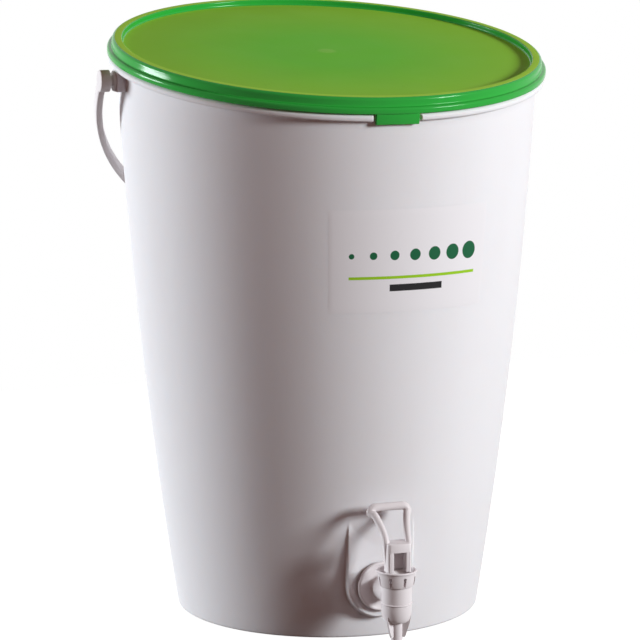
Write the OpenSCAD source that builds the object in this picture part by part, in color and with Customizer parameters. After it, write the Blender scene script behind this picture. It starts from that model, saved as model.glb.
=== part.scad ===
// Bokashi bin: a tapered kitchen bucket with a sloping lid, a carrying bail,
// a drain plate inside and a lever tap for drawing off the liquid.
// Millimetres, +Z up, the tap faces -Y, the origin is the middle of the foot.

/* [Bucket] */
// Outer radius of the wall at the floor
base_r = 98; // [92:0.2:104]
// Outer radius of the wall where it meets the rim
rim_r = 134.3; // [131:0.1:136]
// Height of the wall's top on the axis
wall_h = 352.3; // [330:0.1:380]
// How far the wall bulges beyond a straight taper, at half height
wall_bulge = 4.5; // [2:0.1:8]
// Thickness of the wall
wall_t = 2.6; // [2:0.1:3.2]
// Thickness of the floor
floor_t = 3; // [2:0.1:4]
// Height of the foot ring below the floor
foot_h = 3; // [2:0.1:5]
// Width of the foot ring
foot_w = 4; // [3:0.1:8]
// Radius of the boss in the middle of the underside
boss_r = 12; // [8:0.5:20]
// Number of ribs under the floor
foot_ribs = 8; // [4:1:12]
// Width of the ribs under the floor
rib_w = 2.4; // [1.8:0.1:4]
// Slope of the rim and the lid, in degrees
slope = 10.45; // [6:0.05:14]

/* [Rim] */
// How far the rim band stands out from the wall
band_out = 5.3; // [4.6:0.1:7]
// Height of the rim band
band_h = 4.4; // [3.4:0.1:6]
// Width of the ledge inside the mouth
ledge_in = 1; // [0.5:0.1:1.6]
// Height of the lip that enters the lid
lip_h = 5; // [4.4:0.1:5.4]
// Thickness of the lip that enters the lid
lip_t = 2; // [1.4:0.1:2.2]
// Gap on each side of the lid's pull tab, in the notch of the band
notch_gap = 3.3; // [2:0.1:5]

/* [Lid] */
// How far the flange stands out beyond the rim band
flange_over = 0.5; // [0.3:0.1:1.2]
// Height of the lid's flange
flange_h = 4; // [3.4:0.1:4.4]
// Width of the step between the flange and the raised ring
flange_step = 2.9; // [2.4:0.1:3.2]
// Height of the raised ring above the rim
ring_h = 9.8; // [9.2:0.1:11]
// Width of the raised ring's flat top
ring_w = 6.6; // [6:0.1:7]
// Depth of the flat panel below the raised ring
panel_drop = 3.8; // [3:0.1:4.4]
// Thickness of the lid's walls
lid_t = 2; // [1.6:0.1:2.2]
// Depth of the plug that centres the lid in the mouth
plug_h = 5; // [3.5:0.1:7]
// Width of the pull tab
tab_w = 27.4; // [20:0.2:40]
// How far the pull tab hangs below the flange
tab_h = 6.6; // [5:0.1:9]
// Thickness of the pull tab
tab_t = 2.3; // [1.8:0.1:2.6]

/* [Bail] */
// Gap between each pin's collar and the bail's end disc
bail_play = 2.1; // [1.6:0.1:3]
// How much the bail's depth exceeds its half width
bail_over = 24.6; // [22:0.2:30]
// Lean of the bail's arms at the pivots, in degrees
bail_lean = 3; // [1:0.5:6]
// How much tighter the bail's end is bent than its half width
end_tighter = 28.6; // [24:0.2:34]
// Width of the bail's strap
strap_w = 8.5; // [7:0.1:10]
// Thickness of the bail's strap
strap_t = 4.2; // [3.4:0.1:5]
// Width of the hand grip in the middle of the bail
grip_w = 13; // [11:0.5:18]
// Thickness of the hand grip
grip_t = 5.6; // [5.2:0.1:7]
// Half angle over which the hand grip reaches
grip_half = 19; // [14:1:24]
// Radius of the bail's end discs
disc_r = 6.9; // [6.4:0.1:7.6]
// Thickness of the bail's end discs
disc_t = 8; // [7:0.1:8.6]
// Height of the pivots
pivot_z = 343.6; // [338:0.1:346]

/* [Pivots] */
// Side of the square lug that carries each pivot pin
lug_w = 13.8; // [12:0.1:15]
// How far each lug reaches out from the wall
lug_out = 5.1; // [4:0.1:6]
// Radius of the pin where the bail turns on it
journal_r = 3; // [2.4:0.1:3.6]
// Radius of the pin's shank in the lug
shank_r = 2.2; // [1.8:0.1:2.4]
// Depth of the pin's shank in the lug
shank_l = 6.2; // [5:0.1:6.4]
// Radius of the pin's collar
collar_r = 6.3; // [5:0.1:6.5]
// Thickness of the pin's collar
collar_t = 1.2; // [0.8:0.1:1.6]
// Running clearance between the pin and the bail
pivot_clear = 0.08; // [0.05:0.01:0.1]

/* [Drain plate] */
// Height of the drain plate's top
plate_z = 62; // [58:0.5:70]
// Thickness of the drain plate
plate_t = 2.5; // [2:0.1:3.5]
// Gap between the drain plate and the wall
plate_gap = 1.4; // [0.8:0.1:2.5]
// Radius of the drain holes
drain_r = 3; // [2:0.1:3.4]
// Spacing of the drain holes' rings
drain_pitch = 14; // [12:0.5:18]
// Radius of the drain plate's legs
leg_r = 5; // [4:0.1:6]

/* [Label] */
// Width of the clear label, around the wall
label_w = 108.6; // [90:0.2:130]
// Height of the clear label
label_h = 63.2; // [50:0.2:80]
// Height of the label's middle
label_z = 240.2; // [225:0.1:260]
// How far the label is turned from the front, in degrees
label_turn = 6.8; // [0:0.2:10]
// Thickness of the label film
label_t = 0.12; // [0.1:0.01:0.3]

/* [Tap mounting] */
// How far the flat pad stands out from the wall at the tap's inlet
pad_out = 3.2; // [2:0.1:5]
// Height of the tap's inlet
inlet_z = 34.7; // [33:0.1:38]
// Radius of the pad's round end
pad_r = 20.9; // [20:0.1:24]
// Radius of the pocket behind the pad
pocket_r = 17.8; // [17.2:0.1:18.4]
// Thickness of the wall at the pad
pad_wall = 3; // [2.4:0.1:3.6]
// Radius of the tap's threaded shank
tail_r = 9.4; // [8.6:0.1:9.8]
// Clearance around the shank in the bucket's hole
tail_clear = 0.4; // [0.2:0.1:0.6]
// Thickness of each rubber washer
washer_t = 1.4; // [1:0.1:2]
// Radius of the rubber washers
washer_r = 14.4; // [13:0.1:15]
// Width of the lock nut across its flats
nut_af = 28; // [26:0.5:29]
// Thickness of the lock nut
nut_t = 6; // [5:0.1:7]

/* [Tap body] */
// Distance from the pad to the tap's upright axis
reach = 29.5; // [28:0.1:34]
// Radius of the tap's flange
tap_flange_r = 15.6; // [15.2:0.1:17]
// Thickness of the tap's flange
tap_flange_t = 2.2; // [1.8:0.1:3]
// Radius of the tap's neck
neck_r = 7; // [6.6:0.1:7.4]
// Radius of the tap's body
body_r = 9.3; // [9:0.1:10]
// Length of the tap's body below its top, down to where it rounds in to the spout
body_l = 21.8; // [19.8:0.1:22]
// Depth of the bead around the tap's body, below its top
bead_down = 10.9; // [8:0.1:12]
// Length of the tap below its body's top, down to the spout's tip
spout_l = 35.3; // [33:0.1:37]
// Radius of the spout's tube
spout_r = 4.2; // [3.8:0.1:4.4]
// Radius of the spout's outlet
outlet_r = 3; // [2.4:0.1:3.2]
// Number of fins around the spout
fins = 3; // [3:1:8]
// Radius of the chamber in the tap's body
chamber_r = 7.1; // [6.8:0.1:7.4]
// Depth of the valve seat below the body's top
seat_down = 15.8; // [15:0.1:16.8]
// Radius of the inlet through the neck
inlet_r = 4.4; // [3.8:0.1:4.6]

/* [Bonnet and lever] */
// Radius of the bonnet's cup
cup_r = 12.6; // [12.3:0.1:13.2]
// Thickness of the bonnet's cup
cup_t = 1.3; // [1:0.1:1.5]
// Height of the bonnet's cup
cup_h = 10.1; // [9.4:0.1:10.6]
// Height of the deck that the lever's feet stand on, above the cup's foot
deck_up = 3.4; // [3:0.1:3.8]
// Width of the lever's box
box_w = 15.6; // [15.4:0.1:16.6]
// Depth of the lever's box
box_d = 10.4; // [9:0.1:10.8]
// Thickness of the lever's cheeks
cheek_t = 2.7; // [2.2:0.1:3]
// Height of the lever's box above its pin
box_up = 20.4; // [20.4:0.1:24]
// Height of the block above the lever's window
block_h = 6; // [6:0.1:9]
// Radius of the feet, and how far forward they are set
foot_r = 3.4; // [3:0.1:3.5]
// Width of the finger loop, to the middle of its rod
loop_w = 24.5; // [22:0.5:28]
// Height of the finger loop above the lever's box
loop_up = 18.6; // [14:0.1:20]
// How far the finger loop leans back
loop_back = 16.5; // [12:0.5:18]
// Radius of the finger loop's rod
rod_r = 2.1; // [1.6:0.1:2.2]
// Radius of the lever's pin
pin_r = 1.5; // [1.2:0.1:1.6]

/* [Valve] */
// Radius of the stem
stem_r = 2.2; // [1.9:0.1:2.4]
// Running clearance around the stem and the pin
stem_clear = 0.06; // [0.04:0.01:0.1]
// Radius of the silicone seat cup
seat_r = 5.6; // [5:0.1:6]
// Mean radius of the return spring
spring_r = 3.7; // [3.5:0.05:3.9]
// Radius of the spring's wire
wire_r = 0.4; // [0.3:0.05:0.45]
// Turns of the return spring
spring_turns = 5; // [4:1:6]

/* [Hidden] */
$fn = 96;

// Small gap between pieces that rest on each other
seat_gap = 0.3;
shell_white = [0.93, 0.93, 0.95];
lid_green = [0.16, 0.6, 0.22];
tap_white = [0.86, 0.83, 0.84];
rubber_grey = [0.35, 0.35, 0.37];
spring_steel = [0.7, 0.71, 0.73];

// The wall's outer surface is an arc through its foot, its bulge and its top
wall_chord = norm([rim_r - base_r, wall_h]);
wall_bend = (pow(wall_chord / 2, 2) + pow(wall_bulge, 2)) / (2 * wall_bulge);
wall_tilt = atan((rim_r - base_r) / wall_h);
wall_cx = (base_r + rim_r) / 2 - (wall_bend - wall_bulge) * cos(wall_tilt);
wall_cz = wall_h / 2 + (wall_bend - wall_bulge) * sin(wall_tilt);
wall_steps = 20;
function wall_at(z) = wall_cx + sqrt(pow(wall_bend, 2) - pow(z - wall_cz, 2));

// The rim's plane crosses the axis at the wall's height plus half the band
rim_z = wall_h + 2;
band_r = rim_r + band_out;
flange_r = band_r + flange_over;
ledge_r = rim_r - wall_t - ledge_in;
ring_out = flange_r - flange_step;
ring_in = ring_out - ring_w;
plug_r = ledge_r - 0.4;
channel_in = ring_in + lid_t - 0.4;
channel_out = ring_out - lid_t;
lip_out = channel_out - 0.6;
tab_out = flange_r - 0.9;
notch_r = tab_out - tab_t - 0.4;

lug_face = rim_r + lug_out;
collar_face = lug_face + collar_t;
disc_in = collar_face + bail_play;
disc_out = disc_in + disc_t;

// The bail's arms are arcs that run on into a tighter end arc, which meets the middle
bail_half = disc_out - strap_t / 2;
bail_depth = bail_half + bail_over;
end_bend = bail_half - end_tighter;
arm_bend = (pow(bail_half, 2) + pow(bail_depth - end_bend, 2) - pow(end_bend, 2))
    / (2 * (bail_half * cos(bail_lean) - (bail_depth - end_bend) * sin(bail_lean) - end_bend));
arm_end = acos((arm_bend * cos(bail_lean) - bail_half) / (arm_bend - end_bend));
journal_l = disc_out - collar_face - 2.3;

// The bail hangs behind the bucket until its grip touches the wall
function bail_rest(tilt, rounds) = rounds == 0 ? tilt :
    bail_rest(asin((wall_at(pivot_z - (bail_depth - grip_t / 2) * cos(tilt) - grip_w / 2 * sin(tilt))
                    + seat_gap + grip_w / 2 * cos(tilt)) / (bail_depth - grip_t / 2)), rounds - 1);
bail_tilt = bail_rest(50, 12);

plate_r = wall_at(plate_z - plate_t) - wall_t - plate_gap;
floor_z = foot_h + floor_t;
drain_rings = floor((plate_r - 6) / drain_pitch);
leg_place = wall_at(floor_z) - wall_t - plate_gap - leg_r;
legs = 6;

pad_y = wall_at(inlet_z) + pad_out;
pad_deep = pad_r + pad_out;
tap_y = -pad_y - reach;

// The neck ends just under the body's top, and the rest of the tap goes by that
body_top = inlet_z + neck_r + 0.1;
bowl_z = body_top - body_l;
bead_z = body_top - bead_down;
tip_z = body_top - spout_l;
seat_z = body_top - seat_down;
cup_top = body_top + cup_h;
deck_z = body_top + deck_up;
pin_z = deck_z + 0.2 + foot_r;
box_top = pin_z + box_up;
window_top = box_top - block_h;
loop_z = box_top + loop_up;
web_t = 1.6;
web_low = pin_z + foot_r + 3.8;
nut_back = -pad_y + pad_wall + washer_t + nut_t;
tail_end = nut_back + 2.5;
spigot_r = chamber_r - 0.05;
spigot_z = body_top - 6;
deck_t = 2.4;
collar_z = body_top - 7.2;
spring_low = collar_z + 0.05 + wire_r;
spring_high = deck_z - deck_t - 0.05 - wire_r;

// Sloping frame: its Z runs square to the rim, from the rim's top face
module on_rim() {
    translate([0, 0, rim_z]) rotate([slope, 0, 0]) children();
}

// Frame of the tap's level shank: its Z points away from the bucket
module on_pad() {
    translate([0, -pad_y, inlet_z]) rotate([90, 0, 0]) children();
}

// Upright frame of the tap, at the bucket's floor level
module on_tap() {
    translate([0, tap_y, 0]) children();
}

// Everything above the frame's own level
module above() {
    translate([-2 * rim_r, -2 * rim_r, 0]) cube([4 * rim_r, 4 * rim_r, rim_z]);
}

// Outline with one round upper end, along a slot
module slot(r, up) {
    union() {
        circle(r);
        translate([-r, 0]) square([2 * r, up]);
    }
}

module wall_shape(inset, low) {
    high = rim_z + 2 * band_r * tan(slope);
    rotate_extrude($fn = 180) polygon(concat(
        [[0, low]],
        [for (i = [0:wall_steps]) let (z = low + (high - low) * i / wall_steps) [wall_at(z) - inset, z]],
        [[0, high]]));
}

// The hollow under the floor, left by the foot ring, a middle boss and ribs
module foot_recess() {
    difference() {
        translate([0, 0, -1]) cylinder(r = base_r - foot_w, h = foot_h + 1, $fn = 180);
        translate([0, 0, -2]) cylinder(r = boss_r, h = foot_h + 3);
        for (i = [0:foot_ribs - 1]) rotate([0, 0, (i + 0.5) * 360 / foot_ribs])
            translate([0, -rib_w / 2, -2]) cube([base_r, rib_w, foot_h + 3]);
    }
}

module bin_body() {
    color(shell_white) difference() {
        union() {
            difference() {
                wall_shape(0, 0);
                on_rim() translate([0, 0, -band_h / 2]) above();
            }
            // The rim band with the lip on top, and the flat pad for the tap
            on_rim() rotate_extrude($fn = 180) polygon([
                [ledge_r, -band_h], [band_r - 0.7, -band_h], [band_r, -band_h + 0.7],
                [band_r, -0.5], [band_r - 0.5, 0], [lip_out, 0], [lip_out, lip_h - 0.4],
                [lip_out - 0.4, lip_h], [lip_out - lip_t + 0.4, lip_h],
                [lip_out - lip_t, lip_h - 0.4], [lip_out - lip_t, 0], [ledge_r, 0]]);
            on_pad() translate([0, 0, -pad_deep]) linear_extrude(pad_deep) slot(pad_r, 3 * pad_r);
            for (side = [-1, 1]) translate([side * (rim_r + lug_face - 6) / 2, 0, pivot_z])
                cube([lug_face - rim_r + 6, lug_w, lug_w], center = true);
        }
        // The inside, up to the mouth
        difference() {
            wall_shape(wall_t, floor_z);
            on_rim() translate([0, 0, -band_h]) difference() {
                above();
                translate([0, 0, -1]) cylinder(r = ledge_r, h = rim_z, $fn = 180);
            }
        }
        foot_recess();
        // The pocket behind the pad, and the tap's hole
        on_pad() translate([0, 0, -pad_wall - pad_deep]) linear_extrude(pad_deep) slot(pocket_r, 3 * pad_r);
        on_pad() cylinder(r = tail_r + tail_clear, h = 60, center = true);
        // The notch for the pull tab
        on_rim() translate([0, -notch_r - 10, -3])
            cube([tab_w + 2 * notch_gap, 20, 10], center = true);
        for (side = [-1, 1]) translate([side * (lug_face - shank_l / 2 + 0.5), 0, pivot_z])
            rotate([0, 90, 0]) cylinder(r = shank_r, h = shank_l + 1, center = true);
    }
}

module lid() {
    panel_z = ring_h - panel_drop;
    color(lid_green) on_rim() union() {
        rotate_extrude($fn = 180) polygon([
            [0, panel_z - lid_t], [plug_r - lid_t - 0.2, panel_z - lid_t], [plug_r - lid_t, -plug_h],
            [plug_r - 0.4, -plug_h], [plug_r, -plug_h + 1.5], [plug_r, seat_gap], [channel_in, seat_gap],
            [channel_in, ring_h - lid_t], [channel_out, ring_h - lid_t], [channel_out, seat_gap],
            [flange_r - 0.5, seat_gap], [flange_r, seat_gap + 0.5], [flange_r, flange_h - 0.3],
            [flange_r - 0.6, flange_h + 0.3], [ring_out + 0.2, flange_h + 0.3],
            [ring_out - 0.5, flange_h + 0.9], [ring_out, flange_h + 1.6], [ring_out, ring_h - 1],
            [ring_out - 0.3, ring_h - 0.3], [ring_out - 1, ring_h], [ring_in + 0.8, ring_h],
            [ring_in, ring_h - 0.8], [ring_in - 0.4, panel_z + 0.6], [ring_in - 1, panel_z],
            [0, panel_z]]);
        translate([-tab_w / 2, -tab_out, seat_gap - tab_h]) difference() {
            cube([tab_w, tab_t, tab_h + 2]);
            translate([tab_w / 2, -1, -0.01]) cube([tab_w - 6, 1.4, 0.8], center = true);
        }
    }
}

module lid_seal() {
    color(rubber_grey) on_rim() rotate_extrude($fn = 180) translate([
        (channel_in + channel_out) / 2, (lip_h + seat_gap + ring_h - lid_t) / 2])
        square([channel_out - channel_in - 0.6, ring_h - lid_t - lip_h - seat_gap], center = true);
}

// Rounded outline of a strap, and round outline of a rod
function strap_outline(thick, wide, edge) = [for (q = [0:3]) for (a = [0:45:90])
    [(thick / 2 - edge) * [1, -1, -1, 1][q] + edge * cos(90 * q + a),
     (wide / 2 - edge) * [1, 1, -1, -1][q] + edge * sin(90 * q + a)]];
function rod_outline(r, sides) = [for (k = [0:sides - 1]) r * [cos(360 * k / sides), sin(360 * k / sides)]];

// One outline for each point of a path, joined up, with flat ends
module swept(path, outlines, hint) {
    last = len(path) - 1;
    sides = len(outlines[0]);
    function along(i) = let (d = path[min(i + 1, last)] - path[max(i - 1, 0)]) d / norm(d);
    function across(i) = let (c = cross(along(i), hint)) c / norm(c);
    rings = [for (i = [0:last]) let (a = across(i), b = cross(along(i), a))
        for (p = outlines[i]) path[i] + p.x * a + p.y * b];
    walls = [for (i = [0:last - 1]) for (k = [0:sides - 1]) let (n = (k + 1) % sides)
        each [[i * sides + k, (i + 1) * sides + n, i * sides + n],
              [i * sides + k, (i + 1) * sides + k, (i + 1) * sides + n]]];
    ends = [for (k = [1:sides - 2]) each [[0, k, k + 1],
        [last * sides, last * sides + k + 1, last * sides + k]]];
    polyhedron(rings, concat(walls, ends), convexity = 6);
}

// Half of the bail's middle line, from a pivot to the grip, hanging down
function bail_arm(a) = [bail_half - arm_bend * (cos(bail_lean) - cos(a)), 0,
                        -arm_bend * (sin(a) - sin(bail_lean))];
function bail_end(a) = [end_bend * cos(a), 0, -bail_depth + end_bend * (1 - sin(a))];
arm_steps = 9;
end_steps = 10;
bail_side = concat(
    [for (i = [0:arm_steps]) bail_arm(bail_lean + (arm_end - bail_lean) * i / arm_steps)],
    [for (i = [1:end_steps]) bail_end(arm_end + (90 - arm_end) * i / end_steps)]);
bail_path = concat(bail_side, [for (i = [len(bail_side) - 2:-1:0]) [-bail_side[i].x, 0, bail_side[i].z]]);

// The strap swells into the hand grip over the last few degrees of the end arc
function grip_share(p) = let (off = abs(asin(min(1, abs(p.x) / end_bend))))
    (p.z < -bail_depth / 2) ? min(1, max(0, (grip_half + 4 - off) / 6)) : 0;

module bail_handle() {
    color(tap_white) translate([0, 0, pivot_z]) rotate([bail_tilt, 0, 0]) difference() {
        union() {
            swept(bail_path, [for (p = bail_path) strap_outline(
                strap_t + (grip_t - strap_t) * grip_share(p),
                strap_w + (grip_w - strap_w) * grip_share(p), 1)], [0, 1, 0]);
            for (side = [-1, 1]) translate([side * (disc_in + disc_out) / 2, 0, 0])
                rotate([0, 90, 0]) cylinder(r = disc_r, h = disc_t, center = true);
        }
        for (side = [-1, 1]) translate([side * (collar_face + journal_l / 2 + 0.3), 0, 0])
            rotate([0, 90, 0]) cylinder(r = journal_r + pivot_clear, h = journal_l + 0.6, center = true);
    }
}

module pivot_pin(side) {
    color(shell_white) translate([0, 0, pivot_z]) rotate([0, side * 90, 0]) union() {
        translate([0, 0, lug_face - shank_l + 0.4]) cylinder(r = shank_r, h = shank_l + collar_t);
        translate([0, 0, lug_face]) cylinder(r = collar_r, h = collar_t);
        translate([0, 0, lug_face]) cylinder(r = journal_r, h = collar_t + journal_l);
    }
}

module pivot_pin_left() pivot_pin(-1);

module pivot_pin_right() pivot_pin(1);

module drain_plate() {
    color(shell_white) union() {
        difference() {
            union() {
                translate([0, 0, plate_z - plate_t]) cylinder(r = plate_r, h = plate_t, $fn = 180);
                // The stiffening rim under the plate's edge
                translate([0, 0, plate_z - plate_t - 4]) difference() {
                    cylinder(r = plate_r - 3, h = 4 + plate_t, $fn = 180);
                    translate([0, 0, -1]) cylinder(r = plate_r - 5, h = 6, $fn = 180);
                }
            }
            for (ring = [1:drain_rings]) for (i = [0:6 * ring - 1]) rotate([0, 0, i * 60 / ring])
                translate([ring * drain_pitch, 0, plate_z - plate_t - 5])
                    cylinder(r = drain_r, h = plate_t + 10, $fn = 24);
            translate([0, 0, plate_z - plate_t - 1]) cylinder(r = drain_r, h = plate_t + 2, $fn = 24);
        }
        for (i = [0:legs - 1]) rotate([0, 0, i * 360 / legs])
            translate([leg_place, 0, floor_z + seat_gap])
                cylinder(r = leg_r, h = plate_z - plate_t - floor_z);
    }
}

module label_film() {
    half = label_w / wall_at(label_z) * 90 / PI;
    steps = 6;
    low = label_z - label_h / 2;
    color([0.8, 0.85, 0.8]) rotate([0, 0, label_turn - 90 - half])
        rotate_extrude(angle = 2 * half, $fn = 360) polygon(concat(
            [for (i = [0:steps]) let (z = low + label_h * i / steps) [wall_at(z) + 0.05, z]],
            [for (i = [steps:-1:0]) let (z = low + label_h * i / steps) [wall_at(z) + 0.05 + label_t, z]]));
}

module outer_washer() {
    color(rubber_grey) on_pad() difference() {
        cylinder(r = washer_r, h = washer_t);
        translate([0, 0, -1]) cylinder(r = tail_r + 0.1, h = washer_t + 2);
    }
}

module inner_washer() {
    color(rubber_grey) on_pad() translate([0, 0, -pad_wall - washer_t]) difference() {
        cylinder(r = washer_r, h = washer_t);
        translate([0, 0, -1]) cylinder(r = tail_r + 0.1, h = washer_t + 2);
    }
}

module lock_nut() {
    color(tap_white) on_pad() translate([0, 0, -pad_wall - washer_t - nut_t]) difference() {
        intersection() {
            cylinder(r = nut_af / sqrt(3), h = nut_t, $fn = 6);
            cylinder(r = nut_af / sqrt(3) - 0.9, h = nut_t);
        }
        translate([0, 0, -1]) cylinder(r = tail_r + 0.05, h = nut_t + 2);
    }
}

module tap_body() {
    bowl_top = bowl_z + 6;
    color(tap_white) difference() {
        union() {
            // The shank through the wall, the dished flange and the neck
            translate([0, tail_end, inlet_z]) rotate([90, 0, 0])
                cylinder(r = tail_r, h = pad_y + tail_end + washer_t + 1);
            on_pad() translate([0, 0, washer_t]) rotate_extrude() polygon([
                [0, 0], [tap_flange_r, 0], [tap_flange_r, tap_flange_t],
                [tap_flange_r - 1.6, tap_flange_t], [neck_r + 1.2, tap_flange_t - 0.9],
                [0, tap_flange_t - 0.9]]);
            translate([0, tap_y, inlet_z]) rotate([-90, 0, 0]) cylinder(r = neck_r, h = reach - washer_t);
            // The upright body with its bead, bowl and spout
            on_tap() rotate_extrude() polygon(concat(
                [[0, body_top], [0, tip_z], [spout_r, tip_z], [spout_r, bowl_z - 1]],
                [for (a = [0:15:90]) [6.6 + (body_r - 6.6) * sin(a), bowl_top - (bowl_top - bowl_z) * cos(a)]],
                [[body_r, bead_z - 0.6], [body_r + 0.5, bead_z - 0.2], [body_r + 0.5, bead_z + 0.3],
                 [body_r, bead_z + 0.7], [body_r, body_top]]));
            on_tap() for (i = [0:fins - 1]) rotate([0, 0, 90 + i * 360 / fins]) rotate([90, 0, 0])
                linear_extrude(1.3, center = true) polygon([
                    [0, tip_z + 0.6], [5.3, tip_z + 0.6], [7, bowl_z + 0.8], [6.4, bowl_z + 2], [0, bowl_z + 2]]);
        }
        on_tap() translate([0, 0, seat_z]) cylinder(r = chamber_r, h = 40);
        on_tap() translate([0, 0, tip_z - 1]) cylinder(r = outlet_r, h = 40);
        translate([0, tap_y, inlet_z]) rotate([-90, 0, 0]) cylinder(r = inlet_r, h = 80);
    }
}

module tap_bonnet() {
    cup_low = body_top;
    color(tap_white) on_tap() difference() {
        rotate_extrude() polygon(concat(
            [[stem_r + stem_clear, deck_z - deck_t], [5.2, deck_z - deck_t], [5.2, spigot_z],
             [spigot_r, spigot_z], [spigot_r, cup_low], [body_r + 0.3, cup_low]],
            [for (a = [0:15:90]) [body_r + 0.3 + (cup_r - 0.7 - body_r - 0.3) * sin(a),
                                  cup_low + 5 * (1 - cos(a))]],
            [[cup_r, cup_top - 0.5], [cup_r - 0.4, cup_top], [cup_r - cup_t + 0.3, cup_top],
             [cup_r - cup_t, cup_top - 0.4], [cup_r - cup_t, deck_z], [stem_r + stem_clear, deck_z]]));
        for (i = [0:7]) rotate([0, 0, 7 + i * 45]) translate([0, -cup_r, deck_z + 0.6])
            cube([2, 4.4, 5.8], center = true);
    }
}

// Points along one side of the finger loop, from the box to the top corner
function loop_point(t) = let (edge = box_w / 2 - 1.2)
    [edge + (loop_w / 2 - edge) * pow(t, 1.5), loop_back * pow(t, 1.25),
     box_top - 2 + (loop_z - box_top + 2) * t];
loop_steps = 8;
corner_steps = 4;
corner_bend = 3.6;
loop_side = [for (i = [0:loop_steps]) loop_point(i / loop_steps * 0.86)];
loop_arch = let (tip = loop_point(1)) [for (i = [1:corner_steps])
    let (a = 90 * i / corner_steps) [tip.x - corner_bend * (1 - cos(a)), tip.y,
                                     tip.z - corner_bend * (1 - sin(a)) ]];
loop_half = concat(loop_side, loop_arch);
loop_path = concat(loop_half, [for (i = [len(loop_half) - 1:-1:0])
    [-loop_half[i].x, loop_half[i].y, loop_half[i].z]]);

module tap_lever() {
    color(tap_white) on_tap() union() {
        difference() {
            union() {
                for (side = [-1, 1]) translate([side * (box_w - cheek_t) / 2, 0, 0])
                    rotate([90, 0, 90]) linear_extrude(cheek_t, center = true) union() {
                        translate([-foot_r, pin_z]) circle(foot_r, $fn = 48);
                        translate([-foot_r, pin_z - foot_r + 0.4]) square([foot_r + 2.4, foot_r]);
                        translate([-box_d / 2, pin_z + 1]) square([box_d, box_top - pin_z - 1]);
                        translate([-foot_r * 1.6, pin_z]) square([foot_r * 1.6 + 3.4, 3]);
                    }
                translate([0, 0, (box_top + window_top) / 2])
                    cube([box_w - 1, box_d, box_top - window_top], center = true);
                // The web that closes the back of the window
                translate([0, box_d / 2 - web_t / 2, (window_top + web_low) / 2])
                    cube([box_w - 1, web_t, window_top - web_low + 1], center = true);
            }
            translate([0, 0, pin_z]) rotate([0, 90, 0]) cylinder(r = pin_r, h = box_w + 2, center = true);
        }
        swept(loop_path, [for (p = loop_path) rod_outline(rod_r, 10)], [0, 1, 0.35]);
    }
}

module lever_pin() {
    color(spring_steel) on_tap() translate([0, 0, pin_z]) rotate([0, 90, 0])
        cylinder(r = pin_r, h = box_w - 0.4, center = true);
}

module tap_stem() {
    eye_w = box_w - 2 * cheek_t - 0.6;
    color(tap_white) on_tap() difference() {
        union() {
            translate([0, 0, seat_z + 2]) cylinder(r = stem_r, h = pin_z - seat_z - 2);
            translate([0, 0, collar_z - 1.2]) cylinder(r = spring_r + wire_r + 0.3, h = 1.2);
            translate([0, 0, pin_z]) rotate([0, 90, 0]) cylinder(r = foot_r - 0.5, h = eye_w, center = true);
        }
        translate([0, 0, pin_z]) rotate([0, 90, 0])
            cylinder(r = pin_r + stem_clear, h = box_w, center = true);
    }
}

module seat_cup() {
    color(rubber_grey) on_tap() rotate_extrude() polygon([
        [0, seat_z + 0.2], [seat_r - 0.6, seat_z + 0.2], [seat_r, seat_z + 0.9], [seat_r, seat_z + 3.4],
        [seat_r - 1.8, seat_z + 5], [stem_r + 1.2, seat_z + 5.6], [stem_r + 1.2, collar_z - 1.25],
        [stem_r + 0.02, collar_z - 1.25], [stem_r + 0.02, seat_z + 1.95], [0, seat_z + 1.95]]);
}

module return_spring() {
    sections = 14;
    steps = spring_turns * sections;
    coil = [for (i = [0:steps]) let (a = 360 * i / sections)
        [spring_r * cos(a), spring_r * sin(a), spring_low + (spring_high - spring_low) * i / steps]];
    color(spring_steel) on_tap() swept(coil, [for (p = coil) rod_outline(wire_r, 6)], [0, 0, 1]);
}

bin_body();
lid();
lid_seal();
bail_handle();
pivot_pin_left();
pivot_pin_right();
drain_plate();
label_film();
tap_body();
tap_bonnet();
tap_lever();
lever_pin();
tap_stem();
seat_cup();
return_spring();
outer_washer();
inner_washer();
lock_nut();
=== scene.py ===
import math

import bmesh
import bpy
import numpy as np
from mathutils import Matrix, Vector


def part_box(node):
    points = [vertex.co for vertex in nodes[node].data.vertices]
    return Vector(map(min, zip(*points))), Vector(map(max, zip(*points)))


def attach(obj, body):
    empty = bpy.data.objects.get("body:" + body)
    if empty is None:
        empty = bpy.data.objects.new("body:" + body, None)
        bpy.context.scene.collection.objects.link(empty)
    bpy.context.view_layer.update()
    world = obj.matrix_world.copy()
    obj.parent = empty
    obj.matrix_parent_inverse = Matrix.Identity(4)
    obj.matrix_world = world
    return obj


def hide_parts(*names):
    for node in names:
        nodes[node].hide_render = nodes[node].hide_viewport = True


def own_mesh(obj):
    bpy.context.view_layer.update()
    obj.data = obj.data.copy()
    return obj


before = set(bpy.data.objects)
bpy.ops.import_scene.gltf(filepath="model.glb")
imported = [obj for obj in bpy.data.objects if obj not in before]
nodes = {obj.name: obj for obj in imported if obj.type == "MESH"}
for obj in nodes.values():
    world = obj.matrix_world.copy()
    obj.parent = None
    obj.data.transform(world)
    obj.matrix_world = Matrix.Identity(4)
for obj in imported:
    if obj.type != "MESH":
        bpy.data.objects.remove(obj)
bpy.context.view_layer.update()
MM = 0.001


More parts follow.
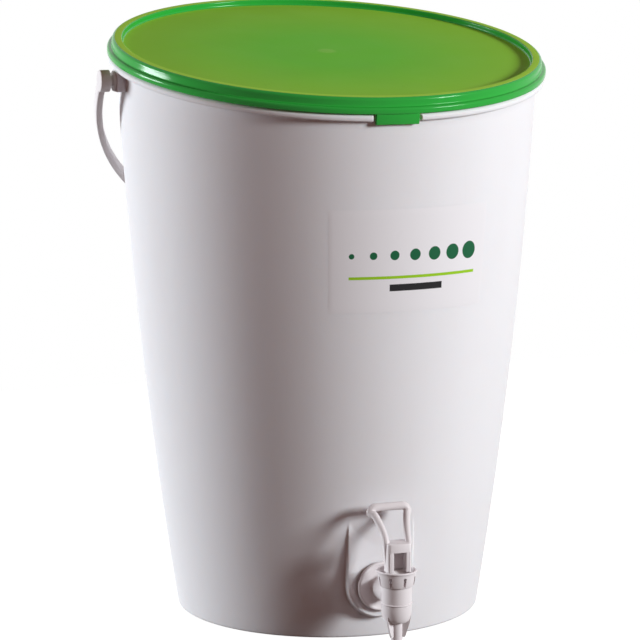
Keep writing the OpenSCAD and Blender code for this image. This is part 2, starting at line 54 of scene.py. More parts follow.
# The bucket: one injection moulding in satin off-white polypropylene. Its wall is a gently bulged
# taper, with a flat pad for the tap, two lugs for the bail's pins, a foot ring with ribs, and a
# rolled band along the sloping rim, notched for the lid's tab.
BASE_R, RIM_R, WALL_H, WALL_BULGE, WALL_T = 98.0, 134.3, 352.3, 4.5, 2.6
SLOPE = math.radians(10.45)
RIM_Z = WALL_H + 2
BAND_R, BAND_H = RIM_R + 5.3, 4.4
LIP_OUT, LIP_IN, LIP_H = 134.6, 132.6, 5.0
LEDGE_R = RIM_R - WALL_T - 1
PAD_Y, PAD_R, POCKET_R, PAD_WALL, INLET_Z = 106.39, 20.9, 17.8, 3.0, 34.7
NOTCH_Y, NOTCH_HALF = 136.5, 15.1
LUG_W, LUG_FACE, PIVOT_Z = 13.8, RIM_R + 5.1, 343.6
FOOT_W, FOOT_H, FLOOR_Z, BOSS_R = 4.0, 3.0, 6.0, 12.0

chord = math.hypot(RIM_R - BASE_R, WALL_H)
bend = ((chord / 2) ** 2 + WALL_BULGE ** 2) / (2 * WALL_BULGE)
lean = math.atan((RIM_R - BASE_R) / WALL_H)
arc_x = (BASE_R + RIM_R) / 2 - (bend - WALL_BULGE) * math.cos(lean)
arc_z = WALL_H / 2 + (bend - WALL_BULGE) * math.sin(lean)


def wall_at(z):
    """Outer radius of the wall at a height, in mm."""
    return arc_x + np.sqrt(bend ** 2 - (z - arc_z) ** 2)


def ease(x):
    """Smooth step from 0 to 1."""
    x = np.clip(x, 0, 1)
    return x * x * (3 - 2 * x)


def from_rim(radius, turn, up):
    """Row points of a place in the rim's sloping frame: radius, angle from the front, height."""
    x, y = radius * np.sin(turn), -radius * np.cos(turn)
    return np.stack([x + 0 * y, y * math.cos(SLOPE) - up * math.sin(SLOPE),
                     RIM_Z + y * math.sin(SLOPE) + up * math.cos(SLOPE)], -1)


def arc(centre, radius, start, end, steps):
    """Points of an arc in a profile, angles in degrees."""
    return [(centre[0] + radius * math.cos(math.radians(start + (end - start) * i / steps)),
             centre[1] + radius * math.sin(math.radians(start + (end - start) * i / steps)))
            for i in range(steps + 1)]


def placed(name, data):
    """A new object in the scene."""
    made = bpy.data.objects.new(name, data)
    bpy.context.scene.collection.objects.link(made)
    return made


def shaded(mesh, sharp=40):
    """Smooth shading, with angles above sharp, in degrees, left crisp."""
    mesh.shade_smooth()
    mesh.set_sharp_from_angle(angle=math.radians(sharp))


def dressed(made, material):
    """Give an object this material alone."""
    made.data.materials.clear()
    made.data.materials.append(material)


def mesh_object(name, points, faces, sharp=40):
    """A smooth-shaded object from points in mm; angles above sharp stay crisp."""
    mesh = bpy.data.meshes.new(name)
    mesh.from_pydata(np.asarray(points, float) * MM, [], faces)
    bm = bmesh.new()
    bm.from_mesh(mesh)
    bmesh.ops.remove_doubles(bm, verts=bm.verts, dist=1e-6)
    bmesh.ops.recalc_face_normals(bm, faces=bm.faces)
    bm.to_mesh(mesh)
    bm.free()
    shaded(mesh, sharp)
    return placed(name, mesh)


def skin(rings, capped=True):
    """Points and faces of a skin through rings of equal count, capped at both ends or not."""
    rings = np.asarray(rings, float)
    rows, cols = rings.shape[:2]
    points = rings.reshape(-1, 3)
    a = np.arange(rows - 1)[:, None] * cols + np.arange(cols)[None]
    b = np.arange(rows - 1)[:, None] * cols + (np.arange(cols)[None] + 1) % cols
    faces = np.stack([a, b, b + cols, a + cols], -1).reshape(-1, 4).tolist()
    if capped:
        middles = [rings[0].mean(0), rings[-1].mean(0)]
        points = np.vstack([points, middles])
        for ring, hub in ((0, len(points) - 2), ((rows - 1) * cols, len(points) - 1)):
            faces += [[ring + i, ring + (i + 1) % cols, hub] for i in range(cols)]
    return points, faces


def joined(name, parts):
    """One object from several, with their meshes together."""
    target = parts[0]
    bm = bmesh.new()
    for part in parts:
        bm.from_mesh(part.data)
    bm.to_mesh(target.data)
    bm.free()
    for part in parts[1:]:
        bpy.data.objects.remove(part)
    target.name = name
    return target


def rounded_block(name, low, high, edge, segments=3):
    """A closed block between two corners in mm, with round edges."""
    bm = bmesh.new()
    bmesh.ops.create_cube(bm, size=1)
    low, high = Vector(low) * MM, Vector(high) * MM
    bmesh.ops.transform(bm, verts=bm.verts, matrix=Matrix.Translation((low + high) / 2)
                        @ Matrix.Diagonal((*(high - low), 1)))
    bmesh.ops.bevel(bm, geom=bm.edges[:], offset=edge * MM, segments=segments, affect="EDGES",
                    profile=0.5)
    mesh = bpy.data.meshes.new(name)
    bm.to_mesh(mesh)
    bm.free()
    shaded(mesh)
    return placed(name, mesh)


def node_kit(tree):
    """Functions that add to a tree: a node, a link, math, a map range, a colour mix and noise."""
    new, link = tree.nodes.new, tree.links.new

    def fed(socket, value):
        """Link a socket, or set it where the value is a plain number or colour."""
        if isinstance(value, bpy.types.NodeSocket):
            link(value, socket)
        else:
            socket.default_value = value

    def math_of(kind, *values):
        """One math node on links or numbers."""
        made = new("ShaderNodeMath")
        made.operation = kind
        for socket, value in zip(made.inputs, values):
            fed(socket, value)
        return made.outputs[0]

    def ranged(value, low, high, to_low=0.0, to_high=1.0):
        """A value moved from one range to another and clamped."""
        made = new("ShaderNodeMapRange")
        for label, number in (("Value", value), ("From Min", low), ("From Max", high),
                              ("To Min", to_low), ("To Max", to_high)):
            fed(made.inputs[label], number)
        return made.outputs[0]

    def mixed(share, first, second):
        """Two colours mixed by a share."""
        made = new("ShaderNodeMix")
        made.data_type = "RGBA"
        for place, value in ((0, share), (6, first), (7, second)):
            fed(made.inputs[place], value)
        return made.outputs[2]

    def noise(scale, detail, stretch=(1, 1, 1)):
        """Noise on object coordinates, stretched along the axes."""
        where, place = new("ShaderNodeTexCoord"), new("ShaderNodeMapping")
        made = new("ShaderNodeTexNoise")
        place.inputs["Scale"].default_value = stretch
        made.inputs["Scale"].default_value, made.inputs["Detail"].default_value = scale, detail
        link(where.outputs["Object"], place.inputs[0])
        link(place.outputs[0], made.inputs["Vector"])
        return made.outputs[0]

    return new, link, math_of, ranged, mixed, noise


def geometry_tree(name, label, value):
    """A Geometry Nodes tree that takes a mesh, a whole number and a material; also its input node."""
    tree = bpy.data.node_groups.new(name, "GeometryNodeTree")
    sockets = tree.interface
    sockets.new_socket("Geometry", in_out="INPUT", socket_type="NodeSocketGeometry")
    sockets.new_socket(label, in_out="INPUT", socket_type="NodeSocketInt").default_value = value
    sockets.new_socket("Material", in_out="INPUT", socket_type="NodeSocketMaterial")
    sockets.new_socket("Geometry", in_out="OUTPUT", socket_type="NodeSocketGeometry")
    return tree, tree.nodes.new("NodeGroupInput")


def put_out(tree, given, geometry):
    """End a tree with its geometry made real, in the given material."""
    new, link = tree.nodes.new, tree.links.new
    real, paint = new("GeometryNodeRealizeInstances"), new("GeometryNodeSetMaterial")
    link(geometry, real.inputs[0])
    link(real.outputs[0], paint.inputs["Geometry"])
    link(given.outputs["Material"], paint.inputs["Material"])
    link(paint.outputs[0], new("NodeGroupOutput").inputs[0])


def ring_tree():
    """Geometry Nodes: copies of the object's own mesh, spread evenly round the Z axis."""
    tree, given = geometry_tree("Ring of copies", "Count", 6)
    tree.interface.new_socket("First turn", in_out="INPUT", socket_type="NodeSocketFloat")
    new, link, math_of, *_ = node_kit(tree)
    points, place = new("GeometryNodePoints"), new("GeometryNodeInstanceOnPoints")
    index, spin = new("GeometryNodeInputIndex"), new("ShaderNodeCombineXYZ")
    step = math_of("DIVIDE", math.tau, given.outputs["Count"])
    turn = math_of("MULTIPLY_ADD", index.outputs[0], step, given.outputs["First turn"])
    link(turn, spin.inputs["Z"])
    link(given.outputs["Count"], points.inputs["Count"])
    link(points.outputs[0], place.inputs["Points"])
    link(given.outputs["Geometry"], place.inputs["Instance"])
    link(spin.outputs[0], place.inputs["Rotation"])
    put_out(tree, given, place.outputs[0])
    return tree


def baked(source):
    """The plain mesh of an object with its modifiers applied."""
    graph = bpy.context.evaluated_depsgraph_get()
    return bpy.data.meshes.new_from_object(source.evaluated_get(graph))


def grown(source, tree, name, **values):
    """The plain mesh that a node tree makes of an object, with its inputs set by name."""
    live = source.modifiers.new("tree", "NODES")
    live.node_group = tree
    for item in tree.interface.items_tree:
        key = item.name.replace(" ", "_").lower()
        if item.in_out == "INPUT" and key in values:
            live[item.identifier] = values[key]
    mesh = baked(source)
    source.modifiers.remove(live)
    bpy.data.objects.remove(source)
    mesh.name = name
    return placed(name, mesh)


def skin_group():
    """Shader group: the fine grain, flow streaks and handling marks of moulded plastic."""
    tree = bpy.data.node_groups.new("Moulded skin", "ShaderNodeTree")
    colour, number = "NodeSocketColor", "NodeSocketFloat"
    for label, kind, value in (("Colour", colour, (0.8, 0.8, 0.8, 1)),
                               ("Soiled colour", colour, (0.6, 0.58, 0.55, 1)),
                               ("Roughness", number, 0.4), ("Streaks", number, 0.3),
                               ("Scuffs", number, 0.3)):
        tree.interface.new_socket(label, in_out="INPUT", socket_type=kind).default_value = value
    for label, kind in (("Colour", colour), ("Roughness", number), ("Height", number)):
        tree.interface.new_socket(label, in_out="OUTPUT", socket_type=kind)
    new, link, math_of, ranged, mixed, noise = node_kit(tree)
    given, put = new("NodeGroupInput"), new("NodeGroupOutput")
    cloud = ranged(noise(14, 3), 0.3, 0.7)
    flow = ranged(noise(30, 2, (1, 1, 0.12)), 0.35, 0.7)
    scuff = ranged(noise(260, 4, (1, 0.25, 0.05)), 0.64, 0.72)
    patch = ranged(noise(22, 1), 0.48, 0.62)
    scuff = math_of("MULTIPLY", math_of("MULTIPLY", scuff, patch), given.outputs["Scuffs"])
    soiled = math_of("MULTIPLY", math_of("MULTIPLY", cloud, flow), given.outputs["Streaks"])
    share = math_of("ADD", soiled, math_of("MULTIPLY", scuff, 0.6))
    link(mixed(share, given.outputs["Colour"], given.outputs["Soiled colour"]), put.inputs["Colour"])
    rough = math_of("ADD", given.outputs["Roughness"], math_of("MULTIPLY", scuff, 0.25))
    link(math_of("ADD", rough, ranged(noise(45, 3), 0.3, 0.7, -0.03, 0.03)), put.inputs["Roughness"])
    grain = math_of("ADD", noise(1800, 2), math_of("MULTIPLY", noise(240, 1), 1.6))
    link(math_of("SUBTRACT", grain, math_of("MULTIPLY", scuff, 0.7)), put.inputs["Height"])
    return tree


moulded_skin = skin_group()
ring_of_copies = ring_tree()


def plastic(name, colour, soiled, rough, streaks=0.3, scuffs=0.3, bump=0.05, depth=0.0001,
            shine=0.5, scatter=0.0):
    """A moulded plastic: its clean and soiled colours, how rough, streaked, scuffed and grained it
    is, its specular level, and the share of light that scatters under its surface."""
    made = bpy.data.materials.new(name)
    made.use_nodes = True
    new, link, *_ = node_kit(made.node_tree)
    shader = made.node_tree.nodes["Principled BSDF"]
    grain, relief = new("ShaderNodeGroup"), new("ShaderNodeBump")
    grain.node_tree = moulded_skin
    for label, value in (("Colour", (*colour, 1)), ("Soiled colour", (*soiled, 1)),
                         ("Roughness", rough), ("Streaks", streaks), ("Scuffs", scuffs)):
        grain.inputs[label].default_value = value
    relief.inputs["Strength"].default_value = bump
    relief.inputs["Distance"].default_value = depth
    link(grain.outputs["Colour"], shader.inputs["Base Color"])
    link(grain.outputs["Roughness"], shader.inputs["Roughness"])
    link(grain.outputs["Height"], relief.inputs["Height"])
    link(relief.outputs["Normal"], shader.inputs["Normal"])
    shader.inputs["Specular IOR Level"].default_value = shine
    shader.inputs["Subsurface Weight"].default_value = scatter
    shader.inputs["Subsurface Radius"].default_value = (1.0, 0.8, 0.7)
    shader.inputs["Subsurface Scale"].default_value = 0.002
    return made


def bucket():
    """The bucket's skin, from the boss below, over the rim, to the floor inside."""
    fine = np.radians(np.arange(-13.5, 13.51, 0.3))
    turns = np.concatenate([fine, np.radians(np.linspace(13.5, 346.5, 223)[1:-1])])

    def rim_height(level, inset):
        """Height where the wall meets a level of the rim's frame, at each angle."""
        z = np.full_like(turns, RIM_Z)
        for _ in range(8):
            radius = wall_at(z) - inset
            z = RIM_Z + (level - radius * np.cos(turns) * math.sin(SLOPE)) / math.cos(SLOPE)
        return z

    def around(radius, z):
        """One ring from radii and heights."""
        radius, z = np.broadcast_to(radius, turns.shape), np.broadcast_to(z, turns.shape)
        return np.stack([radius * np.sin(turns), -radius * np.cos(turns), z], -1)

    def with_pad(radius, z, plane, half, middle, draft):
        """The wall's radius raised to the flat pad, or the pocket behind it, inside its outline. The
        outline's side slopes out by draft, with a small round at its face and its foot."""
        flat = plane / np.maximum(np.cos(turns), 0.2)
        across = np.where(np.cos(turns) > 0, flat * np.sin(turns), 1e3)
        edge = np.where(z < middle, np.hypot(across, z - middle), np.abs(across)) - half
        rise = flat - radius
        rise = 0.5 * (rise + np.sqrt(rise ** 2 + 0.01))
        slope = np.clip(1 - edge / (0.15 + draft * np.clip(rise / 3.2, 0, 1)), -1, 2)
        slope = 0.5 * (slope + np.sqrt(slope ** 2 + 0.006))
        slope = 1 - 0.5 * ((1 - slope) + np.sqrt((1 - slope) ** 2 + 0.006))
        return radius + np.where(edge < draft + 1.2, rise * np.clip(slope, 0, 1), 0)

    top_out, top_in = rim_height(-BAND_H - 0.9, 0), rim_height(-BAND_H - 0.6, WALL_T)
    place = around(wall_at(top_out), top_out)
    up = place[:, 2] - RIM_Z
    rim_turn = np.arctan2(place[:, 0], -(place[:, 1] * math.cos(SLOPE) + up * math.sin(SLOPE)))
    rim_wall = np.hypot(place[:, 0], place[:, 1] * math.cos(SLOPE) + up * math.sin(SLOPE))

    foot_in = BASE_R - FOOT_W
    below = [(2, 0), (BOSS_R - 0.5, 0), (BOSS_R, 0.5), (BOSS_R, FOOT_H - 0.5), (BOSS_R + 0.5, FOOT_H),
             (foot_in - 0.5, FOOT_H), (foot_in, FOOT_H - 0.5), (foot_in, 0.4), (foot_in + 0.4, 0)]
    below += arc((wall_at(1.5) - 1.5, 1.5), 1.5, -90, 0, 4)
    rings = [around(radius, z) for radius, z in below]
    heights = np.concatenate([np.arange(3, 11, 1.5), np.arange(11, 76, 0.5), np.arange(76, 100, 3)])
    for z in heights:
        plane = PAD_Y + 0.5 * ease((z - 51) / 14)
        rings.append(around(with_pad(wall_at(z), z, plane, PAD_R + 0.3, INLET_Z + 1.2, 1.8), z))
    for share in np.linspace(0, 1, 46)[1:]:
        z = 97 + (top_out - 97) * share
        rings.append(around(wall_at(z), z))

    # The rolled band: a fillet under it, round lower and upper edges, then the lip inside the lid
    notch = ease((NOTCH_HALF + 0.3 - np.abs(BAND_R * np.sin(rim_turn))) / 0.8)
    notch = np.where(np.cos(rim_turn) > 0, notch, 0)
    cut = NOTCH_Y / np.maximum(np.cos(rim_turn), 0.2)

    def banded(back, height):
        """A ring of the band, its face set back by so much, cut flat in the notch."""
        face = BAND_R - back
        return from_rim(face + (np.minimum(cut, face) - face) * notch, rim_turn, height)

    rings.append(from_rim(rim_wall + 0.25, rim_turn, -BAND_H - 0.3))
    rings.append(from_rim(rim_wall + 0.9, rim_turn, -BAND_H))
    for back, height in arc((1.3, 1.3), 1.3, 270, 180, 5):
        rings.append(banded(back, -BAND_H + height))
    for back, height in arc((1, -1), 1, 180, 90, 7):
        rings.append(banded(4.0 * back, 2.2 * height))
    lip = [(LIP_OUT + 0.4, 0), (LIP_OUT, 0.4)]
    lip += arc((LIP_OUT - 0.6, LIP_H - 0.6), 0.6, 0, 90, 3)
    lip += arc((LIP_IN + 0.6, LIP_H - 0.6), 0.6, 90, 180, 3)
    lip += [(LIP_IN, 0.3), (LIP_IN - 0.3, 0), (LEDGE_R + 0.4, 0), (LEDGE_R, -0.4),
            (LEDGE_R, -BAND_H + 0.3), (LEDGE_R + 0.3, -BAND_H)]
    rings += [from_rim(radius, rim_turn, height) for radius, height in lip]
    for share in np.linspace(0, 1, 24):
        z = top_in + (FLOOR_Z + 2 - top_in) * share
        inside = with_pad(wall_at(z) - WALL_T, z, PAD_Y - PAD_WALL, POCKET_R, INLET_Z, 1.0)
        rings.append(around(inside, z))
    corner = wall_at(FLOOR_Z) - WALL_T
    rings += [around(radius, z) for radius, z in arc((corner - 2, FLOOR_Z + 2), 2, 0, -90, 4)]
    rings += [around(corner * share, FLOOR_Z) for share in (0.6, 0.3, 0.02)]
    return mesh_object("bucket", *skin(rings))


shell = plastic("satin off-white polypropylene", (0.78, 0.765, 0.785), (0.66, 0.61, 0.6), 0.46,
                streaks=0.12, scuffs=0.1, bump=0.12, depth=0.00012, shine=0.02, scatter=0.3)
parts = [bucket()]
for side in (-1, 1):
    ends = sorted((side * (RIM_R - 2.2), side * LUG_FACE))
    parts.append(rounded_block("lug", (ends[0], -LUG_W / 2, PIVOT_Z - LUG_W / 2),
                               (ends[1], LUG_W / 2, PIVOT_Z + LUG_W / 2), 0.7))
rib = rounded_block("rib", (BOSS_R - 1, -1.2, 0), (BASE_R - FOOT_W + 1, 1.2, FOOT_H + 1), 0.4, 2)
parts.append(grown(rib, ring_of_copies, "foot_ribs", count=8, first_turn=math.pi / 8, material=shell))
body = joined("bucket", parts)
dressed(body, shell)
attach(body, "bin")
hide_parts("bin_body")


# The lid: a green polypropylene moulding that presses on over the rim. A glossy raised ring stands
# round a sunken matt panel, with a stepped flange outside it and a plain pull tab at the front.
FLANGE_R, FLANGE_H = BAND_R + 0.5, 4.3
RING_OUT, RING_IN, RING_H = FLANGE_R - 2.9, FLANGE_R - 9.5, 9.8
PANEL_H, LID_T, SEAT = RING_H - 3.8, 2.0, 0.3
TAB_HALF, TAB_LOW, TAB_T, TAB_OUT = 13.7, -6.3, 2.3, FLANGE_R - 0.9
GATE_R = 5.5


def lid():
    """The lid's closed skin, from the middle of its underside to the middle of its panel."""
    channel_in, channel_out = RING_IN + LID_T - 0.4, RING_OUT - LID_T
    plug = LEDGE_R - 0.4
    profile = [(2, PANEL_H - LID_T), (plug - LID_T - 2, PANEL_H - LID_T)]
    profile += [(plug - LID_T, PANEL_H - LID_T - 2), (plug - LID_T, -5), (plug - 0.5, -5)]
    profile += [(plug, -3.6), (plug, SEAT), (channel_in, SEAT), (channel_in, RING_H - LID_T)]
    profile += [(channel_out, RING_H - LID_T), (channel_out, SEAT)]
    profile += arc((FLANGE_R - 0.7, SEAT + 0.7), 0.7, -90, 0, 4)
    profile += arc((FLANGE_R - 1.5, FLANGE_H - 1.5), 1.5, 0, 90, 6)
    profile += arc((RING_OUT + 0.75, FLANGE_H + 0.85), 0.85, 270, 190, 6)
    profile += arc((RING_OUT - 2.1, RING_H - 2.1), 2.1, 4, 90, 9)
    profile += arc((RING_IN + 0.9, RING_H - 0.9), 0.9, 90, 180, 5)
    profile += arc((RING_IN - 1.2, PANEL_H + 1.2), 1.2, 0, -90, 5)
    profile += [(RING_IN - 6, PANEL_H - 0.05), (110, PANEL_H - 0.3), (90, PANEL_H - 0.5)]
    profile += [(60, PANEL_H - 0.7), (30, PANEL_H - 0.8), (GATE_R + 1.6, PANEL_H - 0.8)]
    profile += [(GATE_R + 0.6, PANEL_H - 0.75), (GATE_R, PANEL_H - 0.68)]
    profile += [(GATE_R - 0.8, PANEL_H - 0.66), (1.6, PANEL_H - 0.66)]
    profile += [(1.0, PANEL_H - 0.62), (0.4, PANEL_H - 0.62)]
    turns = np.linspace(0, math.tau, 289)[:-1]
    rings = [from_rim(radius, turns, up) for radius, up in profile]
    return mesh_object("lid", *skin(rings), sharp=50)


def matt_green_with_painted_light():
    """The panel's and ring top's fine-grained green, lighter and yellower than the gloss green as
    painted light on these upward faces, with a painted warm reflection towards the rim and painted
    light on the ring's flat top.
    """
    made = plastic("matt green polypropylene", (0.25, 0.57, 0.058), (0.16, 0.4, 0.05), 0.6,
                   streaks=0.12, scuffs=0.15, bump=0.06, shine=0.03)
    new, link, _, ranged, mixed, _ = node_kit(made.node_tree)
    where, place = new("ShaderNodeTexCoord"), new("ShaderNodeMapping")
    flat, reach = new("ShaderNodeVectorMath"), new("ShaderNodeVectorMath")
    place.vector_type, flat.operation, reach.operation = "TEXTURE", "MULTIPLY", "LENGTH"
    place.inputs["Location"].default_value = (0, 0, RIM_Z * MM)
    place.inputs["Rotation"].default_value = (SLOPE, 0, 0)
    flat.inputs[1].default_value = (1, 1, 0)
    link(where.outputs["Object"], place.inputs[0])
    link(place.outputs[0], flat.inputs[0])
    link(flat.outputs[0], reach.inputs[0])
    reach = reach.outputs["Value"]
    # Painted light and painted warm reflection: the panel's green, lighter than the gloss green,
    # turns paler and yellower towards the rim.
    painted_reflection_share = ranged(reach, 40 * MM, 128 * MM)
    colour = mixed(painted_reflection_share, (0.18, 0.635, 0.056, 1), (0.305, 0.645, 0.053, 1))
    # Painted light: the ring's flat top is lighter and yellower than the panel.
    painted_ring_top_light = ranged(reach, (RING_IN - 0.5) * MM, RING_IN * MM)
    colour = mixed(painted_ring_top_light, colour, (0.41, 0.74, 0.07, 1))
    gate = ranged(reach, (GATE_R + 1.5) * MM, (GATE_R - 1.5) * MM, 0, 0.35)
    colour = mixed(gate, colour, (0.4, 0.7, 0.16, 1))
    link(colour, made.node_tree.nodes["Group"].inputs["Colour"])
    return made


def is_matt(spot):
    """Whether a face's middle lies on the sunken panel or on the flat top of the ring."""
    spot = Matrix.Rotation(-SLOPE, 4, "X") @ (spot / MM - Vector((0, 0, RIM_Z)))
    reach = math.hypot(spot.x, spot.y)
    panel = reach < RING_IN - 0.9 and spot.z > PANEL_H - 1.5
    return panel or (RING_IN + 0.5 < reach < RING_OUT - 1.7 and spot.z > RING_H - 0.3)


green = plastic("gloss green polypropylene", (0.022, 0.37, 0.042), (0.04, 0.28, 0.04), 0.15,
                streaks=0.15, scuffs=0.25, bump=0.05, shine=0.14)
tab = rounded_block("tab", (-TAB_HALF, -TAB_OUT, TAB_LOW),
                    (TAB_HALF, -TAB_OUT + TAB_T, SEAT + 1), 0.6)
tab.data.transform(Matrix.Translation((0, 0, RIM_Z * MM)) @ Matrix.Rotation(SLOPE, 4, "X"))
cover = joined("lid_cover", [lid(), tab])
cover.data.materials.append(green)
# The panel and the ring's flat top take the matt green, whose colour carries painted light.
cover.data.materials.append(matt_green_with_painted_light())
for face in cover.data.polygons:
    face.material_index = int(is_matt(face.center))
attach(cover, "lid")
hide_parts("lid")


# The lid's seal: a soft grey silicone ring pressed into the channel inside the raised ring. The
# valve's seat cup, deep in the tap, is of the same silicone.
silicone = plastic("grey silicone", (0.42, 0.42, 0.43), (0.3, 0.3, 0.3), 0.55, streaks=0.4, bump=0.1)
for name in ("lid_seal", "seat_cup"):
    dressed(nodes[name], silicone)


# The bail: a flat polypropylene strap, moulded with a round disc at each end and a thicker grip in
# the middle. It hangs behind the bucket from the two pivot pins.
BAIL_HALF, BAIL_DEPTH, END_BEND, BAIL_LEAN = 147.1, 173.2, 120.0, math.radians(0.5)
STRAP_W, STRAP_T, GRIP_W, GRIP_T = 8.5, 4.2, 13.0, 5.6
GRIP_HALF = math.radians(19)
DISC_R, DISC_T, DISC_OUT = 6.9, 6.5, 149.2
ARM_BEND = (BAIL_HALF ** 2 + (BAIL_DEPTH - END_BEND) ** 2 - END_BEND ** 2) / (
    2 * (BAIL_HALF * math.cos(BAIL_LEAN) - (BAIL_DEPTH - END_BEND) * math.sin(BAIL_LEAN) - END_BEND))
ARM_END = math.acos((ARM_BEND * math.cos(BAIL_LEAN) - BAIL_HALF) / (ARM_BEND - END_BEND))
BAIL_TILT = math.radians(49.811)


def swept(path, outlines, hint):
    """Rings of outlines along a path, each square to it, with hint across the outline's width."""
    path = np.asarray(path, float)
    along = np.gradient(path, axis=0)
    along /= np.linalg.norm(along, axis=1)[:, None]
    across = np.cross(along, np.broadcast_to(hint, path.shape))
    across /= np.linalg.norm(across, axis=1)[:, None]
    wide = np.cross(along, across)
    return [p + o[:, :1] * a + o[:, 1:] * w for p, o, a, w in zip(path, outlines, across, wide)]


def strap_outline(thick, wide, edge):
    """A rounded rectangle, as points round its outline."""
    return np.array([p for q, (sx, sy) in enumerate(((1, 1), (-1, 1), (-1, -1), (1, -1)))
                     for p in arc((sx * (thick / 2 - edge), sy * (wide / 2 - edge)), edge,
                                  90 * q, 90 * q + 90, 5)])


def bail():
    """The bail's strap, hanging straight down from its pivots."""
    half = [(BAIL_HALF - ARM_BEND * (math.cos(BAIL_LEAN) - math.cos(a)), 0,
             -ARM_BEND * (math.sin(a) - math.sin(BAIL_LEAN)))
            for a in np.linspace(BAIL_LEAN, ARM_END, 40)]
    half += [(END_BEND * math.cos(a), 0, -BAIL_DEPTH + END_BEND * (1 - math.sin(a)))
             for a in np.linspace(ARM_END, math.pi / 2, 41)[1:]]
    path = np.array(half + [(-x, y, z) for x, y, z in half[-2::-1]])
    off = np.abs(np.arcsin(np.clip(np.abs(path[:, 0]) / END_BEND, 0, 1)))
    grip = ease((GRIP_HALF + math.radians(4) - off) / math.radians(5))
    grip = grip * (path[:, 2] < -BAIL_DEPTH / 2)
    outlines = [strap_outline(STRAP_T + (GRIP_T - STRAP_T) * g, STRAP_W + (GRIP_W - STRAP_W) * g, 1.1)
                for g in grip]
    return mesh_object("strap", *skin(swept(path, outlines, (0, 1, 0))))


def turned(name, profile, axis="Z", count=64, sharp=40):
    """A body turned about an axis, from its profile of radius and height in mm. A profile that ends
    where it starts makes a bored body, and any other is capped."""
    turns = np.linspace(0, math.tau, count + 1)[:-1]
    rings = [np.stack([r * np.cos(turns), r * np.sin(turns), np.full(count, h)], -1)
             for r, h in profile]
    made = mesh_object(name, *skin(rings, profile[0] != profile[-1]), sharp=sharp)
    if axis == "X":
        made.data.transform(Matrix.Rotation(math.pi / 2, 4, "Y"))
    if axis == "Y":
        made.data.transform(Matrix.Rotation(-math.pi / 2, 4, "X"))
    return made


strap_plastic = plastic("satin strap polypropylene", (0.77, 0.73, 0.735), (0.6, 0.55, 0.53), 0.42,
                        streaks=0.25, scuffs=0.35, bump=0.1, shine=0.02)
inner = DISC_OUT - DISC_T
disc_profile = ([(1, inner), (3.2, inner), (3.6, inner)]
                + arc((DISC_R - 0.6, inner + 0.6), 0.6, -90, 0, 4)
                + arc((DISC_R - 0.9, DISC_OUT - 0.9), 0.9, 0, 90, 5) + [(1, DISC_OUT)])
parts = [bail()]
for side in (-1, 1):
    disc = turned("disc", disc_profile, "X")
    if side < 0:
        disc.data.transform(Matrix.Rotation(math.pi, 4, "Z"))
    parts.append(disc)
handle = joined("carrying_bail", parts)
handle.data.transform(Matrix.Translation((0, 0, PIVOT_Z * MM)) @ Matrix.Rotation(BAIL_TILT, 4, "X"))
dressed(handle, strap_plastic)
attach(handle, "bail")
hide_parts("bail_handle")


# The pivot pins: round-collared nylon pins, pressed into the bucket's lugs. The bail's discs turn on
# their shanks.
nylon = plastic("natural nylon", (0.8, 0.77, 0.76), (0.62, 0.57, 0.53), 0.36, streaks=0.3, bump=0.05,
                shine=0.1)
profile = ([(0.6, LUG_FACE - 5.6), (1.9, LUG_FACE - 5.6), (2.2, LUG_FACE - 5.2), (2.2, LUG_FACE)]
           + [(5.9, LUG_FACE)] + arc((5.9, LUG_FACE + 0.4), 0.4, -90, 0, 3)
           + arc((5.8, LUG_FACE + 0.7), 0.5, 0, 90, 3)
           + [(3.4, LUG_FACE + 1.2), (3.0, LUG_FACE + 1.5)]
           + arc((2.5, LUG_FACE + 8.3), 0.5, 0, 90, 3) + [(0.6, LUG_FACE + 8.8)])
for side, node in ((-1, "pivot_pin_left"), (1, "pivot_pin_right")):
    pin = turned(node.replace("pin", "stud"), profile, "X", 48)
    if side < 0:
        pin.data.transform(Matrix.Rotation(math.pi, 4, "Z"))
    pin.data.transform(Matrix.Translation((0, 0, PIVOT_Z * MM)))
    dressed(pin, nylon)
    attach(pin, "bin")
    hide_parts(node)


# The drain plate: a perforated polypropylene plate on six legs, which keeps the waste above the
# liquid. It is moulded in a plastic like the bucket's, and more soiled.
plate_plastic = plastic("plate polypropylene", (0.76, 0.76, 0.77), (0.5, 0.44, 0.36), 0.4,
                        streaks=0.5, scuffs=0.5, bump=0.1)
dressed(nodes["drain_plate"], plate_plastic)


# The lever's pin: drawn stainless steel, with fine lines along it. The return spring's wire is of
# the same steel.
def drawn_steel():
    """Bright metal, with noise drawn out along X in its colour and roughness."""
    made = bpy.data.materials.new("drawn stainless steel")
    made.use_nodes = True
    new, link, _, ranged, _, noise = node_kit(made.node_tree)
    shader, shade = made.node_tree.nodes["Principled BSDF"], new("ShaderNodeValToRGB")
    shader.inputs["Metallic"].default_value = 1
    drawn = noise(2200, 2, (0.08, 1, 1))
    shade.color_ramp.elements[0].color = (0.42, 0.42, 0.43, 1)
    shade.color_ramp.elements[1].color = (0.66, 0.66, 0.67, 1)
    link(drawn, shade.inputs[0])
    link(shade.outputs[0], shader.inputs["Base Color"])
    link(ranged(drawn, 0, 1, 0.22, 0.38), shader.inputs["Roughness"])
    return made


steel = drawn_steel()
for name in ("lever_pin", "return_spring"):
    dressed(nodes[name], steel)


# The tap's rubber washers, one on each side of the wall, and its stem, in smooth white acetal. All
# three are mostly hidden.
rubber = plastic("black washer rubber", (0.03, 0.03, 0.032), (0.09, 0.085, 0.08), 0.65, streaks=0.5,
                 bump=0.2)
for name in ("outer_washer", "inner_washer"):
    dressed(nodes[name], rubber)
acetal = plastic("white acetal", (0.7, 0.66, 0.65), (0.5, 0.45, 0.42), 0.28, bump=0.04)
dressed(nodes["tap_stem"], acetal)


